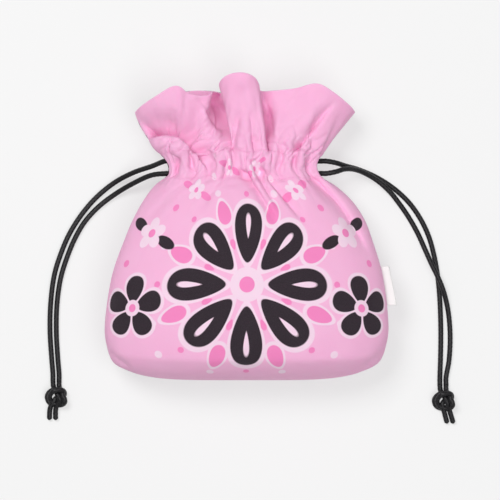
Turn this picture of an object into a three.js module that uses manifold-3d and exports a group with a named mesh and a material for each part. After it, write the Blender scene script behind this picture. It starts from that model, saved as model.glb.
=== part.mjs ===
// A small drawstring pouch of printed cotton, gathered at the neck and filled out, lying on its back.
// Millimetres. +X goes to the right of the front, +Y towards the mouth and +Z up; the floor is Z = 0.
import * as THREE from "three";
import { mergeVertices } from "three/addons/utils/BufferGeometryUtils.js";
import Module from "manifold-3d";

const wasm = await Module();
wasm.setup();

// Cloth
const CLOTH = 1.2; // thickness of the printed cotton
const SEAM_GAP = 0.3; // the two panels stay this far apart along their seams
const GATHERS = 7; // folds that the drawcord pulls into each panel
const GATHER_EASE = [0.02, 0.13]; // share of the panel's width where they start beside a seam

// Base: each panel turns under along a soft fold and ends at the bottom seam
const BASE_SEAM_HALF = 72.5; // half the length of the bottom seam
const BASE_BULGE = 15.5; // how far the filled base stands out past the fold
const CORNER_BULGE = 6.5; // the same at the boxed corners
const CORNER_POWER = 4; // how close to the corners the base stays full

// Casing: the channel round the neck that the two cords run in
const CASING_Y = 61.5;
const CASING_HALF = 7.4; // half its height
const STRIP = 1; // thickness of the inner strip
const CHANNEL_HALF = 5.4; // half the height of the flat bottom of the channel
const CLEAR = 0.6; // room round a cord inside the channel
const SLIT_HALF = 6.2; // half the height of the slit in each side seam that the cords leave by
const SLIT_DEPTH = 4; // how far the slit opens into each panel
const SLIT_EASE = 12; // how soon the cloth beside a slit lies straight again

// Ruffle: the header above the casing, which fans out first and lifts or drops towards its edge
const RUFFLE_FAN = 0.45;
const RUFFLE_LIFT = 0.2;
const RUFFLE_PART = 0.004; // share of the edge by which the two panels part at a tip

// Cords and their knots
const CORD = 3; // diameter
const CORD_SIDES = 8;
const CORD_STEP = 7.5; // length of a straight step along a cord
const LOOP_STEPS = 34; // straight steps in the stretch round the neck
const CORD_SPREAD = 3.5; // a cord leaves its slit this far above or below the casing's middle
const CORD_SPLIT = 1.5; // and this far in front of the seam or behind it
const CORD_EXIT = 1.2; // the slit's mouth stands this far out from the neck
const CORD_TURN_IN = 0.026; // share of the way round the neck where it bends in from the slit or out to it
const LOOP_POINTS = 41; // points on the way round the neck
const KNOT_SIDES = 6;
const KNOT_STEPS = 7; // steps in each third of a knot
const PAIR_LOOSE = 3.5; // distance between the two strands outside a knot
const PAIR_TIGHT = 2.7; // and where the knot presses them together
const TAIL_FROM = 0.8; // share of a knot's path where its tails begin
const LEAD = 4; // strands run straight for this length at the knot and inside the slit
const LEAD_OUT = 2.8; // and for this length outside the slit

// Label: a folded ribbon held in the right side seam
const LABEL = { top: 6, height: 22, reach: 4.2, thickness: 1.2, ply: 0.5, clear: 0.9 };

// Sections of the filled pouch from the base fold up to the head of the casing, on the cloth's mean line:
// half width, height of the front, of the side seam and of the back, length of the rounded ends and depth
// of the gathers. A back below the floor is flattened where it rests.
const SECTIONS = [
  { at: "base_fold", y: -42, half: 77.5, top: 46, seam: 23, back: -3, end: 62, gather: 0 },
  { at: "hip", y: -28, half: 80, top: 53, seam: 24, back: -6, end: 72, gather: 0 },
  { at: "belly", y: 0, half: 76, top: 55, seam: 25, back: -6, end: 74, gather: 0 },
  { at: "chest", y: 21, half: 69, top: 52, seam: 25, back: -5, end: 64, gather: 0.3 },
  { at: "upper_chest", y: 32, half: 64.6, top: 48.5, seam: 24, back: -3, end: 54, gather: 0.8 },
  { at: "shoulder", y: 42, half: 58.6, top: 44, seam: 22.5, back: 0, end: 42, gather: 1.7 },
  { at: "slope", y: 50, half: 51.4, top: 39.5, seam: 21, back: 3, end: 28, gather: 2.7 },
  { at: "casing_foot", y: 54.5, half: 45.4, top: 36.5, seam: 20.3, back: 4.1, end: 16.2, gather: 3.1 },
  { at: "slit_foot", y: 57.5, half: 42.4, top: 35.2, seam: 20, back: 4.8, end: 15.2, gather: 3.2 },
  { at: "neck", y: 61.5, half: 41.2, top: 34.9, seam: 20, back: 5.1, end: 14.9, gather: 3.2 },
  { at: "slit_head", y: 65.5, half: 42.8, top: 35.3, seam: 20, back: 4.7, end: 15.3, gather: 3.2 },
  { at: "casing_head", y: 69.5, half: 46, top: 36.4, seam: 20, back: 3.9, end: 16.4, gather: 3.1 },
];

// Top edge of the ruffle, from the left tip over the front lobes to the right tip.
const FRONT_EDGE = [
  { at: "left_tip", x: -62, y: 92.5, z: 22 },
  { at: "left_side", x: -59.5, y: 95, z: 30 },
  { at: "left_turn", x: -52, y: 100, z: 38 },
  { at: "left_lobe", x: -40, y: 106, z: 41 },
  { at: "left_dip", x: -28, y: 102, z: 31 },
  { at: "left_valley", x: -17, y: 103.5, z: 24 },
  { at: "tab_left", x: -10, y: 112.5, z: 38 },
  { at: "tab", x: -4, y: 114, z: 43 },
  { at: "tab_right", x: 3, y: 112.5, z: 38 },
  { at: "right_valley", x: 10, y: 104.5, z: 25 },
  { at: "right_rise", x: 24, y: 105.5, z: 35 },
  { at: "right_lobe", x: 39, y: 107, z: 41 },
  { at: "right_turn", x: 52, y: 100.5, z: 38 },
  { at: "right_side", x: 59, y: 95, z: 30 },
  { at: "right_tip", x: 61, y: 92.5, z: 22 },
];

// And back from the right tip under the two back lobes, which lie on the floor.
const BACK_EDGE = [
  { at: "right_tip", x: 61, y: 92.5, z: 22 },
  { at: "right_side", x: 58.5, y: 95.5, z: 13 },
  { at: "right_turn", x: 50, y: 101, z: 5 },
  { at: "right_lobe", x: 30, y: 105.5, z: 2 },
  { at: "right_fold", x: 12, y: 104, z: 4 },
  { at: "middle_valley", x: 0, y: 97, z: 13 },
  { at: "left_fold", x: -12, y: 104, z: 4 },
  { at: "left_lobe", x: -31, y: 105.5, z: 2 },
  { at: "left_turn", x: -51, y: 101, z: 5 },
  { at: "left_side", x: -59, y: 95.5, z: 13 },
  { at: "left_tip", x: -62, y: 92.5, z: 22 },
];

// Routes of the four free strands, from the slit down to the floor and out to the knots. The points between
// the slit and the knot are chosen by hand; the first and last come from the casing and from the knot. At the
// right the lower strand lies on the upper one as far as the floor, and crosses over it again further on.
// FLOOR is the height of a strand's middle where it lies on the floor.
const FLOOR = CORD / 2 + 0.15;
const ROUTES = {
  left_cord_upper: [
    [-53, 62.2, 16], [-63.5, 58.8, 9], [-74.2, 53.4, 3.4], [-84.3, 45.4, FLOOR], [-92.6, 36, FLOOR],
    [-100, 24.5, FLOOR], [-105, 13, FLOOR], [-108.7, 1, FLOOR], [-110.8, -15, FLOOR], [-111.2, -31, FLOOR],
    [-110.3, -46, FLOOR],
  ],
  left_cord_lower: [
    [-53, 57.2, 15.4], [-63.5, 52.8, 8.2], [-74, 46.8, 3], [-84, 39.2, FLOOR], [-91.6, 30.8, FLOOR],
    [-97.4, 20.8, FLOOR], [-101.6, 10.6, FLOOR], [-105.1, -0.8, FLOOR], [-107.2, -15.4, FLOOR],
    [-107.6, -31, FLOOR], [-106.8, -46, FLOOR],
  ],
  right_cord_upper: [
    [50.6, 64.1, 17.1], [56, 62.5, 13], [63.4, 60.6, 7.4], [74, 56.2, 2.8], [84, 49.8, FLOOR],
    [92.4, 42, FLOOR], [98.8, 33, FLOOR], [103.6, 23, FLOOR], [106.6, 12.5, FLOOR], [108.6, 1.5, FLOOR],
    [109.8, -10, FLOOR], [110.4, -22, FLOOR], [110.6, -34, FLOOR], [110.4, -47, FLOOR],
  ],
  right_cord_lower: [
    [50.6, 59, 20.8], [56, 60.6, 17.2], [63.2, 60, 11.5], [73.4, 55, 6.3], [81.2, 48.4, 4.2],
    [86.6, 41.8, 2.5], [92.2, 33.8, FLOOR], [97.4, 24.6, FLOOR], [101.8, 14.8, 2.6], [105.1, 7.2, 4.8],
    [108.4, 0.4, 5.5], [111.3, -6.4, 5], [113.6, -14, 2.8], [115.2, -23, FLOOR], [115.9, -35, FLOOR],
    [115.2, -48, FLOOR],
  ],
};

// An overhand knot in the doubled cord, with its tails: across, along the cord and above the floor.
// Each knot has the place where the strands enter it and how far its tails lean to the right.
const KNOT_PATH = [
  [0, 0, FLOOR], [0.2, -3, FLOOR], [2.4, -7.2, 5.6], [4, -11.4, 5.4], [1.6, -13.4, 2.4], [-2.8, -12.2, 2],
  [-4.2, -8.6, 4], [-1.6, -5.2, 6.8], [2.6, -4.8, 5.4], [3.6, -7.2, 2.6], [0.8, -10.6, 3.6],
  [-0.6, -15.2, 2.6], [-0.4, -22, FLOOR],
];
const KNOTS = {
  left: { x: -107.8, y: -59.5, tail: -1.6 },
  right: { x: 111.8, y: -61.5, tail: 4.6 },
};

const FRONT = { way: 1, edge: curve(FRONT_EDGE.map(({ x, y, z }) => [x, y, z])) };
const BACK = { way: -1, edge: curve(BACK_EDGE.map(({ x, y, z }) => [x, y, z])) };

// A smooth curve through points.
function curve(points) {
  return new THREE.CatmullRomCurve3(points.map((p) => new THREE.Vector3(...p)), false, "centripetal");
}

// The columns of SECTIONS at a place t between two rows, on a smooth line through them.
function sectionAt(t) {
  const i = Math.min(Math.floor(t), SECTIONS.length - 2);
  const row = (k) => SECTIONS[THREE.MathUtils.clamp(k, 0, SECTIONS.length - 1)];
  const [a, b, c, d] = [row(i - 1), row(i), row(i + 1), row(i + 2)];
  const f = t - i;
  const at = (column) => {
    const rise = (c[column] - a[column]) / (b === a ? 1 : 2);
    const next = (d[column] - b[column]) / (d === c ? 1 : 2);
    const step = c[column] - b[column];
    return b[column] + f * (rise + f * (3 * step - 2 * rise - next + f * (rise + next - 2 * step)));
  };
  const columns = ["y", "half", "top", "seam", "back", "end", "gather"];
  return Object.fromEntries(columns.map((column) => [column, at(column)]));
}

// The place t in SECTIONS that has a given y.
function placeOf(y) {
  const i = SECTIONS.findIndex((row) => row.y > y) - 1;
  return i + (y - SECTIONS[i].y) / (SECTIONS[i + 1].y - SECTIONS[i].y);
}

// Half of a section, from one side seam over to the other, drawn inset from the mean line.
function outline(side, section, inset) {
  const half = section.half - inset;
  const end = section.end - inset;
  const height = (side === FRONT ? section.top - section.seam : section.seam - section.back) - inset;
  const path = new THREE.Path();
  path.absellipse(end - half, 0, end, height, Math.PI, Math.PI / 2, true);
  path.lineTo(half - end, height);
  path.absellipse(half - end, 0, end, height, Math.PI / 2, 0, true);
  return path;
}

// A point on a section: u runs from seam to seam, and out is how far the cloth stands off the line there.
function onSection(side, section, u, { inset = 0, out = () => 0 } = {}) {
  const path = outline(side, section, inset);
  const open = SLIT_DEPTH * THREE.MathUtils.smoothstep(SLIT_HALF - Math.abs(section.y - CASING_Y), -1, 1);
  const margin = (SEAM_GAP / 2 + (inset ? 0 : open)) / path.getLength();
  const place = u + margin * ((1 - u) ** SLIT_EASE - u ** SLIT_EASE);
  const point = path.getPoint(place);
  const along = path.getTangent(place);
  const off = out(place);
  const x = side.way * (point.x - along.y * off);
  const z = section.seam + side.way * (point.y + along.x * off);
  return new THREE.Vector3(x, section.y, Math.max(z, CLOTH / 2));
}

// The base half of a panel: v goes from the bottom seam at 0 to the fold at 1.
function onBase(side, u, v) {
  const section = sectionAt(0);
  const turn = THREE.MathUtils.lerp(SEAM_GAP / 2 / section.seam, 1, v) * Math.PI / 2;
  const fold = onSection(side, section, u);
  const seam = new THREE.Vector3(side.way * BASE_SEAM_HALF * (2 * u - 1), 0, section.seam);
  const bulge = THREE.MathUtils.lerp(BASE_BULGE, CORNER_BULGE, Math.abs(2 * u - 1) ** CORNER_POWER);
  const point = seam.lerp(fold, Math.sin(turn));
  return point.setY(section.y - bulge * Math.cos(turn));
}

// The body of a panel, from the base fold at v = 1 to the head of the casing at v = 2.
function onBody(side, u, v) {
  const section = sectionAt((v - 1) * (SECTIONS.length - 1));
  const out = (place) => {
    const ease = THREE.MathUtils.smoothstep(Math.min(place, 1 - place), ...GATHER_EASE);
    return section.gather * ease * Math.cos(2 * Math.PI * GATHERS * place);
  };
  return onSection(side, section, u, { out });
}

// The ruffle, from the casing at v = 2 to its free edge at v = 3.
function onRuffle(side, u, v) {
  const s = v - 2;
  const foot = onBody(side, u, 2);
  const edge = side.edge.getPointAt(THREE.MathUtils.lerp(RUFFLE_PART, 1 - RUFFLE_PART, u));
  const bend = foot.clone().lerp(edge, RUFFLE_FAN).setZ(THREE.MathUtils.lerp(foot.z, edge.z, RUFFLE_LIFT));
  const point = foot.multiplyScalar((1 - s) ** 2).addScaledVector(bend, 2 * s * (1 - s));
  return point.addScaledVector(edge, s * s);
}

// At the base both panels are pressed to their own side of the bottom seam.
function pressedToSeam(side, point, v) {
  if (v >= 1) return point;
  const rise = side.way * (point.z - SECTIONS[0].seam);
  return point.setZ(SECTIONS[0].seam + side.way * Math.max(rise, SEAM_GAP / 2));
}

// A panel's cloth on its mean surface.
function onPanel(side, u, v) {
  if (v < 1) return onBase(side, u, v);
  return v <= 2 ? onBody(side, u, v) : onRuffle(side, u, v);
}

// The inner strip of the casing: a shallow channel whose two edges meet the gathers.
function onStrip(side, u, v) {
  const rise = THREE.MathUtils.lerp(-CASING_HALF, CASING_HALF, v);
  const section = sectionAt(placeOf(CASING_Y + rise));
  const edge = section.gather + CLOTH / 2 + SEAM_GAP + STRIP / 2;
  const bottom = section.gather + CLOTH / 2 + CORD + 3 * CLEAR + STRIP / 2;
  const lift = THREE.MathUtils.smoothstep(Math.abs(rise), CHANNEL_HALF, CASING_HALF);
  return onSection(side, section, u, { inset: THREE.MathUtils.lerp(bottom, edge, lift) });
}

// A flat slab of cloth, cut into a grid and bent onto a surface.
function bentSlab(surface, rows, columns, thickness, settle = (point) => point) {
  const slab = new THREE.BoxGeometry(1, 1, 1, columns, rows.length - 1, 1);
  const vertices = slab.getAttribute("position");
  const corner = new THREE.Vector3();
  const small = 1e-3;
  for (let i = 0; i < vertices.count; i++) {
    corner.fromBufferAttribute(vertices, i);
    const u = corner.x + 0.5;
    const v = rows[Math.round((corner.y + 0.5) * (rows.length - 1))];
    const [left, right] = [Math.max(u - small, 0), Math.min(u + small, 1)];
    const [low, high] = [Math.max(v - small, rows[0]), Math.min(v + small, rows.at(-1))];
    const across = surface(right, v).sub(surface(left, v));
    const along = surface(u, high).sub(surface(u, low));
    const normal = across.cross(along).normalize();
    const point = settle(surface(u, v).addScaledVector(normal, corner.z * thickness), v);
    vertices.setXYZ(i, point.x, point.y, point.z);
  }
  return bare(slab);
}

// A geometry with its positions alone, its shared corners merged.
function bare(geometry) {
  geometry.deleteAttribute("normal");
  geometry.deleteAttribute("uv");
  return mergeVertices(geometry, 1e-4);
}

// A round tube along a curve, closed at both ends.
function tube(route, diameter, sides, steps) {
  const corners = Array.from({ length: sides }, (_, i) => (2 * Math.PI * i) / sides);
  const onRim = (angle) => new THREE.Vector2(Math.cos(angle), Math.sin(angle)).multiplyScalar(diameter / 2);
  const ring = new THREE.Shape(corners.map(onRim));
  return bare(new THREE.ExtrudeGeometry(ring, { steps, extrudePath: route, bevelEnabled: false }));
}

// Solids joined into one.
function joined(geometries) {
  const solids = geometries.map((g) => new wasm.Manifold(new wasm.Mesh({
    numProp: 3,
    vertProperties: g.getAttribute("position").array,
    triVerts: new Uint32Array(g.index.array),
  })));
  const mesh = solids.reduce((whole, solid) => whole.add(solid)).getMesh();
  const geometry = new THREE.BufferGeometry();
  geometry.setAttribute("position", new THREE.BufferAttribute(mesh.vertProperties, 3));
  return geometry.setIndex(new THREE.BufferAttribute(mesh.triVerts, 1));
}

// A point on the ring that a cord makes inside the channel: f goes round from the left seam over the front.
function onRing(f, y) {
  const side = f < 0.5 ? FRONT : BACK;
  const section = sectionAt(placeOf(y));
  const inset = section.gather + CLOTH / 2 + CLEAR + CORD / 2;
  return onSection(side, section, f < 0.5 ? 2 * f : 2 * f - 1, { inset });
}

// Where a cord leaves the pouch, in the mouth of the slit: hand is -1 at the left and 1 at the right.
function exitOf(hand, front) {
  const neck = sectionAt(placeOf(CASING_Y));
  const level = (hand === -1) === front ? 1 : -1;
  const depth = front ? CORD_SPLIT : -CORD_SPLIT;
  return new THREE.Vector3(hand * (neck.half + CORD_EXIT), CASING_Y + level * CORD_SPREAD, neck.seam + depth);
}

// The hidden stretch of a cord: in by its slit, once round the neck in the channel, and out beside itself.
function cordLoop(hand) {
  const inward = new THREE.Vector3(-hand * (CORD_EXIT + LEAD), 0, 0);
  const lift = -hand * CORD_SPREAD;
  const points = Array.from({ length: LOOP_POINTS }, (_, i) => {
    const round = THREE.MathUtils.lerp(CORD_TURN_IN, 1 - CORD_TURN_IN, i / (LOOP_POINTS - 1));
    const f = hand === -1 ? round : (1.5 - round) % 1;
    return onRing(f, CASING_Y + lift * Math.cos(Math.PI * round));
  });
  const [first, last] = [exitOf(hand, true), exitOf(hand, false)];
  const [firstBend, lastBend] = [first, last].map((exit) => exit.clone().add(inward));
  return curve([first, firstBend, ...points, lastBend, last].map((p) => p.toArray()));
}

// The two strands of a knot, side by side.
function knotStrands({ x, y, tail }) {
  return [-0.5, 0.5].map((side) => KNOT_PATH.map(([across, along, height], i) => {
    const far = i / (KNOT_PATH.length - 1);
    const middle = Math.sin(Math.PI * far);
    const apart = side * THREE.MathUtils.lerp(PAIR_LOOSE, PAIR_TIGHT, middle);
    const roll = middle ** 2;
    const lean = tail * THREE.MathUtils.smoothstep(far, TAIL_FROM, 1);
    const level = Math.max(height + apart * Math.sin(roll), FLOOR);
    return new THREE.Vector3(x + across + lean + apart * Math.cos(roll), y + along, level);
  }));
}

// Both strands of a knot joined into one solid. Each is made in thirds, so that no tube crosses itself.
function knot(values) {
  const pieces = knotStrands(values).flatMap((points) => {
    const third = Math.floor(points.length / 3);
    const cuts = [0, third, 2 * third, points.length - 1];
    const route = (i) => curve(points.slice(cuts[i], cuts[i + 1] + 1).map((p) => p.toArray()));
    return [0, 1, 2].map((i) => tube(route(i), CORD, KNOT_SIDES, KNOT_STEPS));
  });
  return joined(pieces);
}

// A free strand, from just outside its slit to just short of its knot.
function strand(hand, front, points, knotEnd) {
  const start = exitOf(hand, front);
  const out = [SEAM_GAP, LEAD_OUT].map((far) => [start.x + hand * far, start.y, start.z]);
  const tie = [LEAD, SEAM_GAP].map((far) => [knotEnd.x, knotEnd.y + far, knotEnd.z]);
  return curve([...out, ...points, ...tie]);
}

// A ribbon folded on itself, open towards the seam.
function label() {
  const { reach, thickness, ply, height } = LABEL;
  const outer = thickness / 2;
  const inner = outer - ply;
  const turn = reach - outer;
  const shape = new THREE.Shape();
  shape.moveTo(0, -outer);
  shape.lineTo(turn, -outer);
  shape.absarc(turn, 0, outer, -Math.PI / 2, Math.PI / 2, false);
  shape.lineTo(0, outer);
  shape.lineTo(0, inner);
  shape.lineTo(turn, inner);
  shape.absarc(turn, 0, inner, Math.PI / 2, -Math.PI / 2, true);
  shape.lineTo(0, -inner);
  return bare(new THREE.ExtrudeGeometry(shape, { depth: height, bevelEnabled: false, curveSegments: 4 }));
}

const cotton = new THREE.MeshStandardMaterial({ color: 0xf6b4dc, roughness: 0.85, metalness: 0 });
const printedBack = new THREE.MeshStandardMaterial({ color: 0xf3aed8, roughness: 0.85, metalness: 0 });
const inside = new THREE.MeshStandardMaterial({ color: 0xe88fc4, roughness: 0.9, metalness: 0 });
const ribbon = new THREE.MeshStandardMaterial({ color: 0xf4f2ef, roughness: 0.6, metalness: 0 });
const braid = new THREE.MeshStandardMaterial({ color: 0x1c1b1d, roughness: 0.45, metalness: 0 });

const pouch = new THREE.Group();

// A named piece of the pouch.
function add(name, geometry, material) {
  const mesh = new THREE.Mesh(geometry, material);
  mesh.name = name;
  pouch.add(mesh);
  return mesh;
}

// Grids of the panels and strips. A panel's rows are those of its base, its body and its ruffle.
const zone = (from, steps) => Array.from({ length: steps }, (_, i) => from + (i + 1) / steps);
const PANEL_ROWS = [0, ...zone(0, 4), ...zone(1, SECTIONS.length - 1), ...zone(2, 5)];
const PANEL_COLUMNS = 5 * GATHERS;
const STRIP_ROWS = [0, 0.14, 0.5, 0.86, 1];
const STRIP_COLUMNS = 18;

for (const [name, side, material] of [["front", FRONT, cotton], ["back", BACK, printedBack]]) {
  const panel = (u, v) => onPanel(side, u, v);
  const strip = (u, v) => onStrip(side, u, v);
  const settle = (point, v) => pressedToSeam(side, point, v);
  add(name + "_panel", bentSlab(panel, PANEL_ROWS, PANEL_COLUMNS, CLOTH, settle), material);
  add(name + "_casing", bentSlab(strip, STRIP_ROWS, STRIP_COLUMNS, STRIP), inside);
}

// At the left the upper strand is the front one of its cord, and at the right the lower strand is.
for (const [name, hand] of [["left", -1], ["right", 1]]) {
  const values = KNOTS[name];
  const [leftEnd, rightEnd] = knotStrands(values).map(([entry]) => entry);
  add(name + "_cord_loop", tube(cordLoop(hand), CORD, CORD_SIDES, LOOP_STEPS), braid);
  for (const level of ["upper", "lower"]) {
    const front = (level === "upper") === (hand === -1);
    const strandName = name + "_cord_" + level;
    const knotEnd = level === "upper" ? leftEnd : rightEnd;
    const route = strand(hand, front, ROUTES[strandName], knotEnd);
    add(strandName, tube(route, CORD, CORD_SIDES, Math.round(route.getLength() / CORD_STEP)), braid);
  }
  add(name + "_knot", knot(values), braid);
}

const seamAtTop = sectionAt(placeOf(LABEL.top));
const seamAtFoot = sectionAt(placeOf(LABEL.top - LABEL.height));
const tag = add("side_label", label(), ribbon);
tag.rotation.set(Math.PI / 2, Math.atan2(seamAtFoot.half - seamAtTop.half, LABEL.height), 0);
tag.position.set(seamAtTop.half + CLOTH / 2 + LABEL.clear, LABEL.top, (seamAtTop.seam + seamAtFoot.seam) / 2);

export default pouch;
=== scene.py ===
# A small drawstring pouch of printed cotton, filled out and lying on its back with its two drawcords spread.
# Metres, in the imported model's frame: +X right of the front, +Y towards the mouth, +Z up, floor at Z = 0.
import math

import bmesh
import bpy
import numpy as np
from mathutils import Matrix, Vector


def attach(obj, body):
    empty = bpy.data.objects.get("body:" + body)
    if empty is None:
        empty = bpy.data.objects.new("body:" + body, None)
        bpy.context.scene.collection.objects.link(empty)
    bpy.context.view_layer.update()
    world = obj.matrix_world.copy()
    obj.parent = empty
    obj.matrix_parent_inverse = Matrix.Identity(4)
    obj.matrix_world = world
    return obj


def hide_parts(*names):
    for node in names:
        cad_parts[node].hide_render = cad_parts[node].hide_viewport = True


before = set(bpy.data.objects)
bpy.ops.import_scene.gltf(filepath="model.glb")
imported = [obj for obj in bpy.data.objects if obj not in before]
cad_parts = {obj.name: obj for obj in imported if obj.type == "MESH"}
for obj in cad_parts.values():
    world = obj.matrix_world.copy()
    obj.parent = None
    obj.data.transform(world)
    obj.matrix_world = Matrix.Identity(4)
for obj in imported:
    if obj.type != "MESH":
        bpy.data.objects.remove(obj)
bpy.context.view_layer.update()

scene = bpy.context.scene

# The camera looks straight down from well above, as in a flat-lay picture, with the photograph's even
# margins round the ruffle and the two knots.
VIEW_CENTRE = (0.0023, 0.0150)
VIEW_WIDTH = 0.284
CAMERA_HEIGHT = 2.0

camera = bpy.data.objects.new("camera", bpy.data.cameras.new("camera"))
camera.data.lens = camera.data.sensor_width * CAMERA_HEIGHT / VIEW_WIDTH
camera.location = (*VIEW_CENTRE, CAMERA_HEIGHT)
scene.collection.objects.link(camera)
scene.camera = camera

# Drawcords: two lengths of black braided polyester. The free strands leave the casing by a slit in each side
# seam, come down to the floor and run in pairs to their knots.
CORD = 0.003
FLOOR_GAP = 0.00015
FLOOR = CORD / 2 + FLOOR_GAP  # height of a strand's middle where it lies on the floor
ROUTES = {
    "left_cord_upper": [
        (-0.053, 0.0622, 0.016), (-0.0635, 0.0588, 0.009), (-0.0742, 0.0534, 0.0034),
        (-0.0843, 0.0454, FLOOR), (-0.0926, 0.036, FLOOR), (-0.1, 0.0245, FLOOR), (-0.105, 0.013, FLOOR),
        (-0.1087, 0.001, FLOOR), (-0.1108, -0.015, FLOOR), (-0.1112, -0.031, FLOOR),
        (-0.1103, -0.046, FLOOR),
    ],
    "left_cord_lower": [
        (-0.053, 0.0572, 0.0154), (-0.0635, 0.0528, 0.0082), (-0.074, 0.0468, 0.003),
        (-0.084, 0.0392, FLOOR), (-0.0916, 0.0308, FLOOR), (-0.0974, 0.0208, FLOOR),
        (-0.1016, 0.0106, FLOOR), (-0.1051, -0.0008, FLOOR), (-0.1072, -0.0154, FLOOR),
        (-0.1076, -0.031, FLOOR), (-0.1068, -0.046, FLOOR),
    ],
    "right_cord_upper": [
        (0.0506, 0.0641, 0.0171), (0.056, 0.0625, 0.013), (0.0634, 0.0606, 0.0074),
        (0.074, 0.0562, 0.0028), (0.084, 0.0498, FLOOR), (0.0924, 0.042, FLOOR), (0.0988, 0.033, FLOOR),
        (0.1036, 0.023, FLOOR), (0.1066, 0.0125, FLOOR), (0.1086, 0.0015, FLOOR), (0.1098, -0.01, FLOOR),
        (0.1104, -0.022, FLOOR), (0.1106, -0.034, FLOOR), (0.1104, -0.047, FLOOR),
    ],
    "right_cord_lower": [
        (0.0506, 0.059, 0.0208), (0.056, 0.0606, 0.0172), (0.0632, 0.06, 0.0115), (0.0734, 0.055, 0.0063),
        (0.0812, 0.0484, 0.0042), (0.0866, 0.0418, 0.0025), (0.0922, 0.0338, FLOOR),
        (0.0974, 0.0246, FLOOR), (0.1018, 0.0148, 0.0026), (0.1051, 0.0072, 0.0048),
        (0.1084, 0.0004, 0.0055), (0.1113, -0.0064, 0.005), (0.1136, -0.014, 0.0028),
        (0.1152, -0.023, FLOOR), (0.1159, -0.035, FLOOR), (0.1152, -0.048, FLOOR),
    ],
}
CASING_Y = 0.0615  # middle of the casing
SLIT_X = 0.0424  # mouth of the slit in each side seam
SLIT_Z = 0.020
CORD_SPREAD = 0.0035  # a strand leaves its slit this far above or below the casing's middle
CORD_SPLIT = 0.0015  # and this far in front of the seam or behind it
LEAD = 0.004  # a strand runs straight for this length at the knot and inside the slit
LEAD_OUT = 0.0028  # and for this length outside the slit
# Where the strands enter their knot, and how far the tails lean to the right: x, y, lean.
KNOT_PLACES = {"left": (-0.1078, -0.0595, -0.0016), "right": (0.1118, -0.0615, 0.0046)}
PAIR = 0.0035  # distance between two strands side by side
BRAID_SIDES = 24
BRAID_STEP = 0.0005  # between the rings of a cord's mesh
BRAID_BUMPS = 4  # crossings of the yarns round a cord
BRAID_PITCH = 0.0024  # and from one to the next along it
BRAID_RELIEF = 0.0001
# The cord's black, left in the dips between the yarns as painted shade, and a grey painted on the yarns'
# crowns as a painted highlight.
BRAID_BLACK = (0.004, 0.004, 0.005, 1)
BRAID_CROWN_PAINTED_HIGHLIGHT = (0.016, 0.015, 0.017, 1)
FIBRES_ROUND, FIBRES_ALONG = 24, 6  # fine fibres in the yarns, round a cord and along one crossing
MELTED = 0.3 * CORD  # length of a melted end
MELTED_TIP = 0.12  # the part of it that is left off, so that its tip stays blunt
SPAN_STEPS = 40  # points of a smooth line from one given point to the next, before they are set evenly


def evenly(line, count):
    """A line of points drawn again with so many points at even steps."""
    far = np.concatenate([[0], np.cumsum(np.linalg.norm(np.diff(line, axis=0), axis=1))])
    steps = np.linspace(0, far[-1], count)
    return np.stack([np.interp(steps, far, column) for column in line.T], axis=1)


def smooth_line(points, step):
    """A smooth line through a few points, drawn with points about one step apart."""
    points = np.array(points, dtype=float)
    points = np.vstack([2 * points[0] - points[1], points, 2 * points[-1] - points[-2]])
    gaps = np.sqrt(np.linalg.norm(np.diff(points, axis=0), axis=1))
    part = np.linspace(0, 1, SPAN_STEPS, endpoint=False)[:, None]
    spans = []
    for i in range(1, len(points) - 2):
        before, here, after, beyond = points[i - 1:i + 3]
        last, this, following = gaps[i - 1:i + 2]
        across = after - here
        leave = this * ((here - before) / last - (after - before) / (last + this)) + across
        reach = this * ((beyond - after) / following - (beyond - here) / (this + following)) + across
        bend = 3 * across - 2 * leave - reach + part * (leave + reach - 2 * across)
        spans.append(here + part * (leave + part * bend))
    line = np.vstack([*spans, points[-2:-1]])
    length = np.linalg.norm(np.diff(line, axis=0), axis=1).sum()
    return evenly(line, max(2, round(length / step) + 1))


def unit(vectors):
    """Vectors in the same directions, each of length 1."""
    return vectors / np.linalg.norm(vectors, axis=-1, keepdims=True)


def bent_grid(shape, points, flat):
    """A grid with a corner at each point, row by row. Its UV map holds their places on the flat piece."""
    rows, columns = points.shape[:2]
    lie = shape.loops.layers.uv.get("flat") or shape.loops.layers.uv.new("flat")
    corners = bmesh.ops.create_grid(shape, x_segments=columns - 1, y_segments=rows - 1, size=0.5)["verts"]
    for corner, point, place in zip(corners, points.reshape(-1, 3), flat.reshape(-1, 2)):
        corner.co = point
        for loop in corner.link_loops:
            loop[lie].uv = place
    return corners


def braided_tube(shape, line, cut_end=False):
    """A round braid along a line: a grid rolled up, sewn along its seam and closed at both ends."""
    ahead = unit(np.gradient(line, axis=0))
    side = [unit(np.cross(ahead[0], (0, 0, 1)))]
    for way in ahead[1:]:
        side.append(unit(side[-1] - way * np.dot(side[-1], way)))
    side = np.array(side)
    above = np.cross(ahead, side)
    far = np.linspace(0, 1, len(line)) * np.linalg.norm(np.diff(line, axis=0), axis=1).sum()
    turn = np.linspace(0, 2 * np.pi, BRAID_SIDES + 1)
    relief = np.cos(BRAID_BUMPS * turn) * np.cos(2 * np.pi * far / BRAID_PITCH)[:, None]
    radius = CORD / 2 - BRAID_RELIEF * (0.5 - 0.5 * relief)
    if cut_end:
        radius *= np.sqrt(np.clip((far[-1] - far) / MELTED, MELTED_TIP, 1))[:, None]
    ring = np.cos(turn)[None, :, None] * side[:, None] + np.sin(turn)[None, :, None] * above[:, None]
    points = line[:, None] + radius[..., None] * ring
    flat = np.stack(np.broadcast_arrays(turn / (2 * np.pi), far[:, None] / CORD), axis=2)
    corners = bent_grid(shape, points, flat)
    bmesh.ops.remove_doubles(shape, verts=corners, dist=1e-6)
    bmesh.ops.holes_fill(shape, edges=[edge for edge in shape.edges if edge.is_boundary], sides=0)
    bmesh.ops.recalc_face_normals(shape, faces=shape.faces)


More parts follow.
